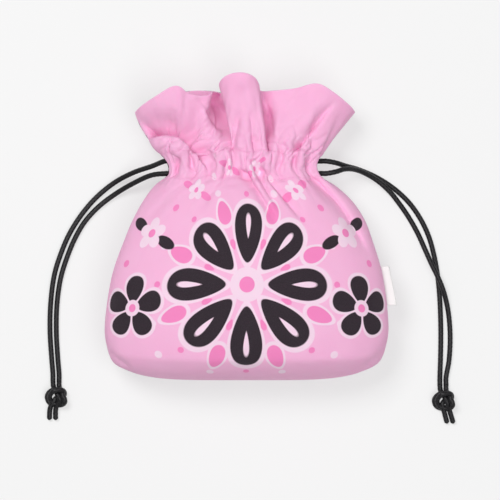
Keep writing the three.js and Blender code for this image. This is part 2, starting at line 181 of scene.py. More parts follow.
def as_piece(name, shape, *finishes):
    """The finished shape as a smooth piece of the pouch."""
    mesh = bpy.data.meshes.new(name)
    shape.to_mesh(mesh)
    shape.free()
    mesh.shade_smooth()
    for finish in finishes:
        mesh.materials.append(finish)
    piece = bpy.data.objects.new(name, mesh)
    scene.collection.objects.link(piece)
    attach(piece, "root")
    return piece


class Wire:
    """A socket of a material's nodes. Arithmetic on it adds Math nodes, and node() adds any other kind."""

    def __init__(self, socket):
        self.socket = socket

    def node(self, kind, settings, values):
        """The first output of a new node, with its settings and then the values or links of its sockets."""
        tree = self.socket.id_data
        made = tree.nodes.new("ShaderNode" + kind)
        for name, value in settings.items():
            setattr(made, name, value)
        for place, value in values.items():
            if isinstance(value, Wire):
                tree.links.new(value.socket, made.inputs[place])
            else:
                made.inputs[place].default_value = value
        return Wire(next(socket for socket in made.outputs if socket.enabled))

    def other(self, name):
        """Another output of the same node."""
        return Wire(self.socket.node.outputs[name])

    def feeds(self, shader, place):
        """Links this socket to one of the shader's."""
        self.socket.id_data.links.new(self.socket, shader.inputs[place])

    def math(self, operation, *values):
        """A Math node on this socket and other values."""
        return self.node("Math", {"operation": operation}, dict(enumerate((self, *values))))

    def __add__(self, other):
        return self.math("ADD", other)

    def __sub__(self, other):
        return self.math("SUBTRACT", other)

    def __mul__(self, other):
        return self.math("MULTIPLY", other)

    def __truediv__(self, other):
        return self.math("DIVIDE", other)

    def __rsub__(self, other):
        return self * -1 + other

    def __abs__(self):
        return self.math("ABSOLUTE")

    __radd__ = __add__
    __rmul__ = __mul__

    def over(self, below, above):
        """Two colours mixed by this mask: below at 0 and above at 1."""
        return self.node("Mix", {"data_type": "RGBA"}, {0: self, 6: below, 7: above})


def finish(name, roughness, gloss, sheen, sheen_tint, coordinates="UV"):
    """A new material: its shader, and the coordinates that its pattern reads."""
    material = bpy.data.materials.new(name)
    material.use_nodes = True
    shader = material.node_tree.nodes["Principled BSDF"]
    shader.inputs["Roughness"].default_value = roughness
    shader.inputs["Specular IOR Level"].default_value = gloss
    shader.inputs["Sheen Weight"].default_value = sheen
    shader.inputs["Sheen Tint"].default_value = sheen_tint
    place = material.node_tree.nodes.new("ShaderNodeTexCoord")
    return material, shader, Wire(place.outputs[coordinates])


def braid_finish():
    """Black yarns with a painted highlight: a little greyer on their crowns, and blacker in the dips between
    them as painted shade, with fine fibres along each yarn.
    """
    material, shader, place = finish(
        "black_braid", roughness=0.42, gloss=0.3, sheen=0.04, sheen_tint=(0.6, 0.6, 0.65, 1))
    split = place.node("SeparateXYZ", {}, {0: place})
    turn = split * (2 * math.pi)
    far = split.other("Y") * (2 * math.pi * CORD / BRAID_PITCH)
    crown = (turn * BRAID_BUMPS).math("COSINE") * far.math("COSINE") * 0.5 + 0.5
    fibre_turn, fibre_far = turn * FIBRES_ROUND, far * FIBRES_ALONG
    fibres = ((fibre_turn + fibre_far).math("SINE") + (fibre_turn - fibre_far).math("SINE")) * 0.25 + 0.5
    # Painted highlight on the yarns' crowns and painted shade in the dips between them.
    crown.over(BRAID_BLACK, BRAID_CROWN_PAINTED_HIGHLIGHT).feeds(shader, "Base Color")
    (0.5 - crown * 0.14).feeds(shader, "Roughness")
    bump = fibres.node("Bump", {}, {"Height": fibres, "Strength": 0.5, "Distance": 0.00006})
    bump.feeds(shader, "Normal")
    return material


def slit_mouth(hand, front):
    """Where a strand leaves the pouch: hand is -1 at the left and 1 at the right."""
    level = CORD_SPREAD if (hand == -1) == front else -CORD_SPREAD
    return np.array((hand * SLIT_X, CASING_Y + level, SLIT_Z + (CORD_SPLIT if front else -CORD_SPLIT)))


black_braid = braid_finish()
strands = {}
for name, route in ROUTES.items():
    hand = -1 if name.startswith("left") else 1
    front = (hand == -1) == name.endswith("upper")
    mouth = slit_mouth(hand, front)
    knot_x, knot_y, _ = KNOT_PLACES["left" if hand == -1 else "right"]
    tie = np.array((knot_x + (-PAIR / 2 if name.endswith("upper") else PAIR / 2), knot_y, FLOOR))
    straight_out = [mouth, mouth + (hand * LEAD_OUT, 0, 0)]
    straight_in = [tie + (0, LEAD, 0), tie]
    line = smooth_line([*straight_out, *route, *straight_in], BRAID_STEP)
    shape = bmesh.new()
    braided_tube(shape, line)
    strand = as_piece(name + "_braid", shape, black_braid)
    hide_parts(name)
    strands[name] = (strand, mouth, line)

# Knots: each pair of strands is tied in one overhand knot, pulled snug, with two short tails that are melted
# at their ends. The strands press closer together inside the knot.
KNOT_PATH = [  # across, along the cord and above the floor
    (0, 0, FLOOR), (0.0002, -0.003, FLOOR), (0.0024, -0.0072, 0.0056), (0.004, -0.0114, 0.0054),
    (0.0016, -0.0134, 0.0024), (-0.0028, -0.0122, 0.002), (-0.0042, -0.0086, 0.004),
    (-0.0016, -0.0052, 0.0068), (0.0026, -0.0048, 0.0054), (0.0036, -0.0072, 0.0026),
    (0.0008, -0.0106, 0.0036), (-0.0006, -0.0152, 0.0026), (-0.0004, -0.022, FLOOR),
]
PAIR_TIGHT = 0.0027  # distance between the two strands inside the knot
TAIL_FROM = 0.8  # share of the knot's path where its tails begin


def smooth_step(value, low, high):
    """0 up to low, 1 from high on, and a smooth rise between them."""
    part = np.clip((value - low) / (high - low), 0, 1)
    return part * part * (3 - 2 * part)


def knot_line(place, side):
    """The way of one of the two strands through a knot: side is -1 for the left one and 1 for the right."""
    x, y, lean = place
    path = np.array(KNOT_PATH)
    far = np.linspace(0, 1, len(path))
    middle = np.sin(np.pi * far)
    apart = side / 2 * (PAIR + (PAIR_TIGHT - PAIR) * middle)
    roll = middle ** 2
    across = x + path[:, 0] + lean * smooth_step(far, TAIL_FROM, 1) + apart * np.cos(roll)
    height = np.maximum(path[:, 2] + apart * np.sin(roll), FLOOR)
    line = smooth_line(np.stack([across, y + path[:, 1], height], axis=1), BRAID_STEP)
    line[:, 2] = np.maximum(line[:, 2], FLOOR)
    return line


for hand_name, place in KNOT_PLACES.items():
    shape = bmesh.new()
    for side in (-1, 1):
        braided_tube(shape, knot_line(place, side), cut_end=True)
    knot = as_piece(hand_name + "_knot_braid", shape, black_braid)
    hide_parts(hand_name + "_knot")
    for level in ("upper", "lower"):
        name = f"{hand_name}_cord_{level}"
        strand, mouth, line = strands[name]

# Panels: the front and the back, each one sheet of plain-woven printed cotton. They are sewn together down
# the sides and across the base, drawn in at the neck by the cords, and stand in a ruffle above the casing.
# Their form is laid out by sections across the filled pouch, settled as cloth, and creased.
CLOTH = 0.0012
# Sections across the pouch: y, half width, height of the front, of the side seam and of the back, width of
# the rounded ends, depth of the gathers, and shift to the right.
Y, HALF, TOP, SEAM, BACK, END, GATHER, SHIFT = range(8)
SECTIONS = np.array([
    (-0.042, 0.0772, 0.0500, 0.023, -0.003, 0.054, 0, 0.0002),
    (-0.028, 0.0793, 0.0540, 0.024, -0.006, 0.070, 0, 0.0004),
    (0, 0.0757, 0.055, 0.025, -0.006, 0.074, 0, 0.0008),
    (0.021, 0.069, 0.052, 0.025, -0.005, 0.064, 0.0003, 0.0014),
    (0.032, 0.0646, 0.0485, 0.024, -0.003, 0.054, 0.0008, 0.0016),
    (0.042, 0.0586, 0.044, 0.0225, 0, 0.042, 0.0017, 0.0010),
    (0.050, 0.0514, 0.0395, 0.021, 0.003, 0.028, 0.0027, -0.0004),
    (0.0545, 0.0454, 0.0365, 0.0203, 0.0041, 0.0162, 0.0031, -0.0012),
    (0.0575, 0.0424, 0.0352, 0.020, 0.0048, 0.0152, 0.0032, -0.0017),
    (0.0615, 0.0412, 0.0349, 0.020, 0.0051, 0.0149, 0.0032, -0.0021),
    (0.0655, 0.0428, 0.0353, 0.020, 0.0047, 0.0153, 0.0032, -0.0023),
    (0.0695, 0.046, 0.0364, 0.020, 0.0039, 0.0164, 0.0031, -0.0024),
])
RUFFLE_EDGES = {  # the ruffle's free edge, from the left tip over the front and back under it
    "front": [
        (-0.062, 0.0925, 0.022), (-0.0595, 0.095, 0.030), (-0.051, 0.1005, 0.038),
        (-0.0400, 0.1066, 0.042), (-0.0362, 0.1060, 0.041), (-0.0330, 0.1030, 0.038),
        (-0.0260, 0.1016, 0.036), (-0.0190, 0.1022, 0.034), (-0.0162, 0.1030, 0.028),
        (-0.0150, 0.1036, 0.020), (-0.0138, 0.1040, 0.012), (-0.0124, 0.1046, 0.013),
        (-0.0128, 0.1058, 0.023), (-0.0148, 0.1080, 0.032), (-0.0134, 0.1108, 0.038),
        (-0.0080, 0.1134, 0.042), (-0.0010, 0.1138, 0.043), (0.0040, 0.1120, 0.040),
        (0.0068, 0.1082, 0.034), (0.0066, 0.1056, 0.024), (0.0082, 0.1044, 0.023),
        (0.0108, 0.1042, 0.025), (0.0145, 0.1043, 0.030), (0.0190, 0.1046, 0.032),
        (0.0270, 0.1054, 0.034), (0.0400, 0.1080, 0.039), (0.0485, 0.1035, 0.038), (0.059, 0.0952, 0.029),
        (0.0612, 0.0928, 0.022),
    ],
    "back": [
        (0.0612, 0.0928, 0.022), (0.0585, 0.0955, 0.013), (0.050, 0.101, 0.005), (0.030, 0.1055, 0.002),
        (0.012, 0.104, 0.004), (0, 0.097, 0.013), (-0.012, 0.104, 0.004), (-0.031, 0.1055, 0.002),
        (-0.051, 0.101, 0.005), (-0.059, 0.0955, 0.013), (-0.062, 0.0925, 0.022),
    ],
}
# Creases as seen from above, each from its shallow end: its points (x, y), its depth, below zero for a
# swelling, and its half width, or one for the left of its way and one for the right.
CREASES = {
    "front": [
        # Valley at the left of the tab in the ruffle's middle
        ([(-0.0185, 0.110), (-0.0152, 0.098), (-0.0125, 0.087), (-0.0095, 0.074)], 0.0095, (0.0014, 0.0030)),
        ([(-0.0290, 0.1040), (-0.0215, 0.0940), (-0.0160, 0.0840)], 0.0022, (0.0045, 0.0012)),
        # Left lobe: the droop, the swelling under it, and soft hollows
        ([(-0.078, 0.0760), (-0.058, 0.0790), (-0.050, 0.0812), (-0.0435, 0.0820), (-0.0365, 0.0805),
          (-0.0305, 0.0755), (-0.0282, 0.0715)], 0.0125, (0.0075, 0.0015)),
        ([(-0.070, 0.0700), (-0.054, 0.0735), (-0.046, 0.0750), (-0.037, 0.0725)], -0.0034, 0.0048),
        ([(-0.0560, 0.0900), (-0.0400, 0.0885)], 0.0020, 0.0038),
        ([(-0.0285, 0.1000), (-0.0265, 0.0900), (-0.0255, 0.0800)], 0.0022, 0.0032),
        # Tab: its dent and creases, and the fold at its right
        ([(-0.0015, 0.110), (-0.0015, 0.100), (-0.001, 0.090)], 0.0024, 0.0042),
        ([(-0.0040, 0.094), (-0.0072, 0.072)], 0.0034, 0.0018),
        ([(0.0025, 0.096), (0.0050, 0.072)], 0.0034, 0.0018),
        ([(0.0115, 0.098), (0.0138, 0.082), (0.0134, 0.072)], 0.0100, (0.0014, 0.0018)),
        ([(0.0190, 0.096), (0.0172, 0.080)], -0.0014, 0.0022),
        # Right lobe
        ([(0.0520, 0.1010), (0.0430, 0.0910), (0.0285, 0.0715)], 0.0044, (0.0012, 0.0022)),
        ([(0.046, 0.1005), (0.024, 0.0760)], -0.0014, 0.0045),
        # Short puckers across the casing
        ([(-0.0395, 0.054), (-0.0378, 0.066)], 0.0026, 0.0014),
        ([(-0.0300, 0.058), (-0.0305, 0.067)], 0.0020, 0.0014),
        ([(-0.0222, 0.062), (-0.0230, 0.077)], 0.0020, 0.0015),
        ([(-0.0168, 0.059), (-0.0155, 0.073)], 0.0032, 0.0014),
        ([(-0.0088, 0.057), (-0.0065, 0.063), (-0.0078, 0.072)], 0.0034, 0.0014),
        ([(0.0145, 0.056), (0.0085, 0.059), (0.0038, 0.0640)], 0.0032, (0.0022, 0.0013)),
        ([(0.0182, 0.057), (0.0205, 0.074)], 0.0018, 0.0015),
        ([(0.0260, 0.059), (0.0290, 0.074)], 0.0028, 0.0014),
        # Drawn from the neck into the body
        ([(0.019, 0.027), (0.009, 0.043), (-0.0010, 0.058)], 0.0044, (0.0024, 0.0013)),
        ([(0.020, 0.036), (0.0125, 0.047), (0.0065, 0.0585)], 0.0034, (0.0013, 0.0018)),
        ([(0.034, 0.029), (0.022, 0.044), (0.013, 0.055)], 0.0036, (0.0013, 0.0026)),
        ([(0.070, 0.008), (0.062, 0.024), (0.052, 0.040), (0.039, 0.054)], 0.0040, (0.0036, 0.0017)),
        ([(-0.026, 0.037), (-0.016, 0.052)], 0.0012, 0.0020),
        ([(-0.058, 0.028), (-0.036, 0.052)], 0.0012, 0.0026),
        # Ends of the boxed corners
        ([(-0.062, -0.053), (-0.075, -0.043)], 0.0014, 0.0018),
        ([(0.062, -0.053), (0.075, -0.043)], 0.0014, 0.0018),
    ],
    "back": [
        # Drawn from the neck into the body
        ([(-0.036, 0.025), (-0.022, 0.056)], 0.0016, 0.0022),
        ([(0.014, 0.028), (0.006, 0.057)], 0.0016, 0.0020),
        ([(0.052, 0.025), (0.030, 0.056)], 0.0018, 0.0022),
        # Ruffle
        ([(0.0, 0.110), (-0.002, 0.072)], 0.0028, 0.0024),
        ([(-0.040, 0.108), (-0.028, 0.072)], 0.0020, 0.0020),
        ([(0.042, 0.108), (0.027, 0.072)], 0.0020, 0.0020),
        # Short puckers across the casing
        ([(-0.012, 0.080), (-0.013, 0.056)], 0.0018, 0.0016),
        ([(0.012, 0.080), (0.014, 0.056)], 0.0018, 0.0016),
    ],
}
CREASE_FADE = 0.4  # share of a crease's length over which it deepens
PRESS_WAY = (0.35, 0.35, 1)  # creases are pressed nearer to straight down than straight in
CREASE_LEAN = 0.8  # and lean in under their steeper side
SEAM_GAP = 0.0003
SEAM_ROLL = 0.0010  # how far the cloth rolls in beside a seam
SEAM_ROLL_WIDTH = 0.0013
SEAM_FLAT = 0.04  # share of the width beside a seam where creases fade out
BASE_SEAM_HALF = 0.0725
BASE_BULGE = 0.0155  # how far the base stands out below the fold, at its middle
CORNER_BULGE = 0.0065  # and at its corners
CORNER_POWER = 5  # how close to the corners that changes
BASE_TURN = math.radians(42)  # how round the base is between its seam and the fold above it
FOLD_SAG = 0.0050  # how far that fold sags between the corners
FOLD_SAG_POWER = 2.5
FOLD_SAG_REACH = 0.012
SLIT_HALF = 0.0062  # half the height of a slit
SLIT_DEPTH = 0.004  # how far each panel stands back from the seam there
SLIT_SOFT = 0.001  # half the height over which it goes back
SLIT_EASE = 12  # how close to the seam the cloth gives way for that
ARC_STEPS = 120  # points along each rounded end of a section
GATHERS = 11  # small folds across a panel where it is drawn in
GATHER_DEPTH = 0.0030
GATHER_REACH = 0.013  # how far they run above the casing's middle
GATHER_DROP = 0.0085  # and below it
GATHER_EASE = (0.01, 0.08)  # shares of the width beside a seam over which they begin
GATHER_DRIFT = ((0.010, 2, 0.3), (0.006, 5, 0.1))  # waves that move them sideways: size, count and start
GATHER_UNEVEN = (0.25, 3.3, 0.2)  # wave that makes some of them deeper: size, count and start
VALLEY_POWER = 1.7  # above 1 their valleys are sharper than their crowns
LARGE_FOLDS = 5
LARGE_SHARE = 0.4  # of the section's depth of gathers
LARGE_START = 0.9
PUCKER = 0.0013  # how far the gathers push the rows of the casing up and down
PUCKER_WAVES = ((1, 0.6, 0.2), (0.6, 1.4, 0))  # size, count for each gather, and start
PUCKER_POWER = 8  # how close to the seams the puckers end
STITCH_ROWS = (0.0545, 0.0695)  # the casing is sewn along these two lines
STITCH_PULL = 0.0006  # and the thread pulls the cloth in by this much
STITCH_PULL_WIDTH = 0.0013
EDGE_STEP = 0.0002  # between the points of the ruffle's edge before it is divided into columns
RUFFLE_FAN = 0.45  # how soon the ruffle spreads sideways above the casing
LEFT_BELLY = 0.32  # how much sooner at its left tip
LEFT_BELLY_SHARE = 0.10
RUFFLE_LIFT = 0.42  # and how soon it rises to the height of its edge
RUFFLE_LAP = 0.0005  # the ruffle's side seams are lapped by this much
LAP_EASE = 0.25  # from this share of the ruffle's height
PANEL_FLAT = (0.182, 0.195)  # the sheet before it was sewn and gathered
BASE_ROWS, LOWER_ROWS, UPPER_ROWS, RUFFLE_ROWS = 11, 30, 22, 32
FINE_FROM = 0.045  # the upper rows lie closer together, from here to the ruffle's foot
BODY_ROWS = np.concatenate([
    np.linspace(SECTIONS[0, Y], FINE_FROM, LOWER_ROWS, endpoint=False),
    np.linspace(FINE_FROM, SECTIONS[-1, Y], UPPER_ROWS),
])
FINE = np.array((0, 0.0036, 0.0072, 0.0112, 0.0162))  # fine columns beside a seam, in shares of the width
WIDE_FROM = 0.0245  # and the first of the even columns between them
PANEL_COLUMNS = 110
ACROSS = np.concatenate([FINE, np.linspace(WIDE_FROM, 1 - WIDE_FROM, PANEL_COLUMNS), 1 - FINE[::-1]])
SETTLE_STEPS = 16
SETTLE_REACH = 0.004  # the cloth settles by this much at most
SPARE_CLOTH = 0.006  # share of spare length in the cloth
SOFT_FILL = 0.2  # pressure of the filling
SELF_DISTANCE = 0.7 * CLOTH
LIGHTLY_HELD, STITCH_HELD, RIM_HELD = 0.08, 0.7, 0.8  # how firmly the cloth keeps to its form meanwhile
RIM_ROWS = 3
SEWN_ROWS, SEWN_COLUMNS = 2, 3  # held fast at the bottom seam and beside the side seams
SETTLE_AWAY = 0.22  # share of the settling that counts far from the neck
SETTLE_EASE = (0.03, 0.16)  # and from these shares of the width beside a seam
CUT_DEEPER = 1.25  # the cloth is cut for gathers this much deeper, and puckers as it settles


def mixed(low, high, part):
    """The value some part of the way from low to high."""
    return low + (high - low) * part


def section_at(y):
    """The columns of SECTIONS at a given y, on smooth lines through their rows."""
    t = np.interp(y, SECTIONS[:, Y], np.arange(len(SECTIONS)))
    i = min(int(t), len(SECTIONS) - 2)
    f = t - i
    here, after = SECTIONS[i], SECTIONS[i + 1]
    leave = (after - SECTIONS[i - 1]) / 2 if i else after - here
    reach = (SECTIONS[i + 2] - here) / 2 if i + 2 < len(SECTIONS) else after - here
    step = after - here
    return here + f * (leave + f * (3 * step - 2 * leave - reach + f * (leave + reach - 2 * step)))


def near_casing(y):
    """How strongly a row is gathered: 1 at the middle of the casing and less above and below it."""
    reach = GATHER_REACH if y > CASING_Y else GATHER_DROP
    return np.exp(-((y - CASING_Y) / reach) ** 2)


def folds(place, depth, y, deeper):
    """How far the cloth stands off across a section: small folds with sharp valleys on a few large ones."""
    ease = smooth_step(np.minimum(place, 1 - place), *GATHER_EASE)
    shifted = place
    for size, count, start in GATHER_DRIFT:
        shifted = shifted + size * np.sin(2 * np.pi * (count * place + start))
    size, count, start = GATHER_UNEVEN
    uneven = 1 - size + size * np.sin(2 * np.pi * (count * place + start))
    valley = 0.5 - 0.5 * np.cos(2 * np.pi * GATHERS * shifted)
    small = GATHER_DEPTH * near_casing(y) * uneven * (1 - 2 * valley ** VALLEY_POWER)
    large = LARGE_SHARE * depth * np.cos(2 * np.pi * LARGE_FOLDS * place + LARGE_START)
    return ease * (small * deeper + large)


def across_section(way, section, across, gathered=0.0, inset=0.0):
    """A row of points over a section from seam to seam: way is 1 for the front and -1 for the back."""
    y, half, top, seam, back, end, gather, shift = section
    half, end = half - inset, end - inset
    height = (top - seam if way == 1 else seam - back) - inset
    angle = np.linspace(0, np.pi / 2, ARC_STEPS)
    x = np.concatenate([end - half - end * np.cos(angle), half - end + end * np.sin(angle)])
    z = np.concatenate([height * np.sin(angle), height * np.cos(angle)])
    far = np.concatenate([[0], np.cumsum(np.hypot(np.diff(x), np.diff(z)))])
    slit = SLIT_DEPTH * smooth_step(SLIT_HALF - abs(y - CASING_Y), -SLIT_SOFT, SLIT_SOFT)
    margin = (SEAM_GAP / 2 + (0 if inset else slit)) / far[-1]
    place = across + margin * ((1 - across) ** SLIT_EASE - across ** SLIT_EASE)
    lines = (x, z, np.gradient(x, far), np.gradient(z, far))
    point_x, point_z, along_x, along_z = (np.interp(place, far / far[-1], line) for line in lines)
    size = np.hypot(along_x, along_z)
    off = np.zeros_like(place)
    if not inset:
        to_seam = np.minimum(place, 1 - place) * far[-1]
        off -= SEAM_ROLL * np.exp(-(to_seam / SEAM_ROLL_WIDTH) ** 2)
    if gathered:
        pull = sum(np.exp(-((y - row) / STITCH_PULL_WIDTH) ** 2) for row in STITCH_ROWS)
        off += folds(place, gather, y, gathered) - STITCH_PULL * pull
    row_x = shift + way * (point_x - off * along_z / size)
    row_z = seam + way * (point_z + off * along_x / size)
    return np.stack([row_x, np.full_like(row_x, y), np.maximum(row_z, CLOTH / 2)], axis=1)


def panel_points(name, gathered=1.0):
    """The rows of a panel's cloth, from the bottom seam over the body to the ruffle's edge."""
    way = 1 if name == "front" else -1
    fold = section_at(SECTIONS[0, Y])
    fold_row = across_section(way, fold, ACROSS)
    seam_row = np.stack([way * BASE_SEAM_HALF * (2 * ACROSS - 1), fold_row[:, 1], fold_row[:, 2]], axis=1)
    seam_row[:, 2] = fold[SEAM]
    to_corner = np.abs(2 * ACROSS - 1)
    bulge = mixed(BASE_BULGE, CORNER_BULGE, to_corner ** CORNER_POWER)
    sag = FOLD_SAG * (1 - to_corner ** FOLD_SAG_POWER)
    pucker = np.zeros_like(ACROSS)
    for size, count, start in PUCKER_WAVES:
        pucker += size * np.sin(2 * np.pi * (count * GATHERS * ACROSS + start))
    rows = []
    for part in np.linspace(SEAM_GAP / 2 / fold[SEAM], 1, BASE_ROWS, endpoint=False):
        turn = part * BASE_TURN
        row = mixed(seam_row, fold_row, np.sin(turn) / np.sin(BASE_TURN))
        out = (np.cos(turn) - np.cos(BASE_TURN)) / (1 - np.cos(BASE_TURN))
        row[:, 1] = fold[Y] - bulge * out - sag * (1 - out)
        rows.append(row)
    for y in BODY_ROWS:
        row = across_section(way, section_at(y), ACROSS, gathered)
        row[:, 1] += PUCKER * near_casing(y) * pucker * (1 - to_corner ** PUCKER_POWER)
        row[:, 1] -= sag * np.exp(-((y - fold[Y]) / FOLD_SAG_REACH) ** 2)
        rows.append(row)
    edge = smooth_line(RUFFLE_EDGES[name], EDGE_STEP)
    share = np.linspace(0, 1, len(edge))
    edge_row = np.stack([np.interp(ACROSS, share, column) for column in edge.T], axis=1)
    foot = rows[-1]
    from_left = ACROSS if name == "front" else 1 - ACROSS
    bend = mixed(foot, edge_row, RUFFLE_FAN)
    bend[:, 0] += LEFT_BELLY * np.exp(-(from_left / LEFT_BELLY_SHARE) ** 2) * (edge_row[:, 0] - foot[:, 0])
    bend[:, 2] = mixed(foot[:, 2], edge_row[:, 2], RUFFLE_LIFT)
    for s in np.linspace(0, 1, RUFFLE_ROWS + 1)[1:]:
        row = foot * (1 - s) ** 2 + bend * 2 * s * (1 - s) + edge_row * s ** 2
        row[[0, -1], 2] -= way * RUFFLE_LAP * min(1, s / LAP_EASE)
        rows.append(row)
    return np.array(rows)


def outwards(points):
    """The unit directions in which a grid of points faces."""
    return unit(np.cross(np.gradient(points, axis=1), np.gradient(points, axis=0)))


def creased(points, creases, facing):
    """The grid with its creases pressed in: lines seen from above, deeper from their first points on."""
    inward = -unit(facing * PRESS_WAY)
    moved = np.zeros(points.shape)
    plan = points[..., :2]
    for corners, depth, width in creases:
        left, right = np.broadcast_to(width, 2)
        away = np.full(points.shape[:2], np.inf)
        along = np.zeros(points.shape[:2])
        to_right = np.zeros(plan.shape)
        run = 0.0
        for start, end in zip(np.array(corners[:-1]), np.array(corners[1:])):
            step = end - start
            length = np.linalg.norm(step)
            part = np.clip((plan - start) @ step / length ** 2, 0, 1)
            off = plan - start - part[..., None] * step
            on_left = step[0] * off[..., 1] > step[1] * off[..., 0]
            reach = np.linalg.norm(off, axis=2) / np.where(on_left, left, right)
            nearer = reach < away
            along[nearer] = (run + part * length)[nearer]
            to_right[nearer] = (step[1] / length, -step[0] / length)
            away = np.minimum(away, reach)
            run += length
        press = depth * smooth_step(along / run, 0, CREASE_FADE) * np.exp(-away ** 2)
        lean = CREASE_LEAN * (left - right) / (left + right)
        moved += press[..., None] * inward
        moved[..., :2] += lean * press[..., None] * to_right
    return points + moved * smooth_step(np.minimum(ACROSS, 1 - ACROSS), 0, SEAM_FLAT)[:, None]


def settled(panel, held, cut):
    """How far each corner moves as the cloth, cut with spare length, settles over a soft filling."""
    start = np.array([corner.co for corner in panel.data.vertices])
    group = panel.vertex_groups.new(name="held")
    for index, weight in enumerate(held.ravel()):
        group.add([index], float(weight), "REPLACE")
    panel.shape_key_add(name="sewn")
    flat_cut = panel.shape_key_add(name="cut")
    flat_cut.data.foreach_set("co", cut.ravel())
    modifier = panel.modifiers.new("settle", "CLOTH")
    cloth = modifier.settings
    cloth.quality = 5
    cloth.mass = 0.1
    cloth.tension_stiffness = cloth.compression_stiffness = 20
    cloth.shear_stiffness = 8
    cloth.bending_stiffness = 2
    cloth.effector_weights.gravity = 0
    cloth.vertex_group_mass = group.name
    cloth.pin_stiffness = 1
    cloth.rest_shape_key = flat_cut
    cloth.shrink_min = -SPARE_CLOTH
    cloth.use_pressure = True
    cloth.uniform_pressure_force = SOFT_FILL
    touch = modifier.collision_settings
    touch.use_collision = False
    touch.use_self_collision = True
    touch.self_distance_min = SELF_DISTANCE
    for step in range(1, SETTLE_STEPS + 1):
        scene.frame_set(step)
    after = panel.evaluated_get(bpy.context.evaluated_depsgraph_get()).data
    moved = np.array([corner.co for corner in after.vertices]) - start
    far = np.linalg.norm(moved, axis=1, keepdims=True)
    moved *= np.minimum(1, SETTLE_REACH / np.maximum(far, 1e-9))
    panel.modifiers.remove(modifier)
    panel.vertex_groups.remove(group)
    panel.shape_key_clear()
    scene.frame_set(1)
    return moved.reshape(cut.shape)


INK_EDGE = 0.35  # softness of a printed edge, in millimetres as all sizes of the print
PINK = (0.90, 0.472, 0.690, 1)
PINK_DEEP = (0.865, 0.420, 0.645, 1)
HOT_PINK = (0.87, 0.235, 0.51, 1)
PALE_PINK = (0.88, 0.64, 0.775, 1)
PLUM = (0.016, 0.010, 0.016, 1)
SLUB_PINK = (0.95, 0.70, 0.83, 1)
SLUB_SHARE = 0.03
WEAVE = 0.5  # from one yarn to the next
ROSETTE_MIDDLE = 72  # above the bottom seam
ROSETTE_PETALS = 8
# Petals, buds and leaves: reach from the flower's middle, half length, half width and taper.
DARK_PETAL = (29, 17, 8.4, 0.4)
PETAL_STROKE = (33, 7, 1.5, 0.5)
BUD = (44, 7.5, 4.2, -0.2)
INNER_DROP = (24, 3.2, 1.5, 0.4)
OUTER_DOT = (57, 2.2, 2.2)
TIP_DOT = (52, 1.8, 1.8)
PETAL_RIM, BUD_RIM = 1.6, 1.3  # width of the pale rims
ROSETTE_RING, ROSETTE_HEART = 9.6, 4.4
FLOWER_PETALS = 5
FLOWER_PETAL = (4.6, 3.6, 2.9)
FLOWER_LEAF = (11, 6, 2.7)
FLOWER_LEAVES = 2
LEAF_TURN = 0.36  # share of the way from one leaf to the next
FLOWER_HEART = 2.1
SMALL_FLOWERS = ((64, 29, 1.15), (40, 55, 0.85), (13, 69, 0.6))  # x, y from the rosette's middle, and size
BLOSSOM_PLACE = (66, -13)
BLOSSOM_PETAL = (10.5, 7.5, 5.6, 0.3)
BLOSSOM_RIM, BLOSSOM_RING, BLOSSOM_HEART = 1.4, 4.6, 2.3
DOTS = (  # x, y from the rosette's middle, radius and ink
    (50, -40, 2.2, PALE_PINK), (76, 12, 2.0, HOT_PINK), (52, 44, 2.2, HOT_PINK), (27, 64, 2.0, PALE_PINK),
)
DAISY_REPEAT = (25, 20)
REPEATS_LEFT = 20  # whole repeats that keep the count across above zero
DAISY_PETALS = 6
DAISY_PETAL = (5, 3.9, 2.6, 0.3)
DAISY_RAISE = 1.5  # the daisy stands this far above the middle of its repeat
DAISY_RIM, DAISY_HEART, DAISY_DOT = 0.9, 2.1, 1.3
DAISY_LEAF = (0, 5, 2)
DAISY_LEAF_OUT, DAISY_LEAF_DROP = 8.4, 4.4
DAISY_LEAF_WAY = (0.86, 0.5)  # its direction, out and down


def inked(distance):
    """A printed shape from the distance to its edge: 1 inside it and 0 outside."""
    return distance.node("Math", {"operation": "MULTIPLY_ADD", "use_clamp": True},
                         {0: distance, 1: -1 / INK_EDGE, 2: 0.5})


def petal(x, y, reach, length, width, taper=0.0):
    """The distance to a petal that points outwards, by half its length and width, narrower inwards."""
    out = (y - reach) / length
    across = x / (out * taper + 1).math("MAXIMUM", 0.2) / width
    return ((across * across + out * out).math("SQRT") - 1) * width


def in_a_ring(x, y, count, turned=0.0):
    """Coordinates folded so that a shape is repeated round the middle, and the distance from it."""
    step = 2 * math.pi / count
    angle = x.math("ARCTAN2", y)
    folded = angle - ((angle / step - turned).math("ROUND") + turned) * step
    radius = (x * x + y * y).math("SQRT")
    return radius * folded.math("SINE"), radius * folded.math("COSINE"), radius


def overprinted(colour, layers):
    """The cloth's colour under layers of ink, each given as the distance to its edge and its colour."""
    for distance, ink in layers:
        colour = inked(distance).over(colour, ink)
    return colour


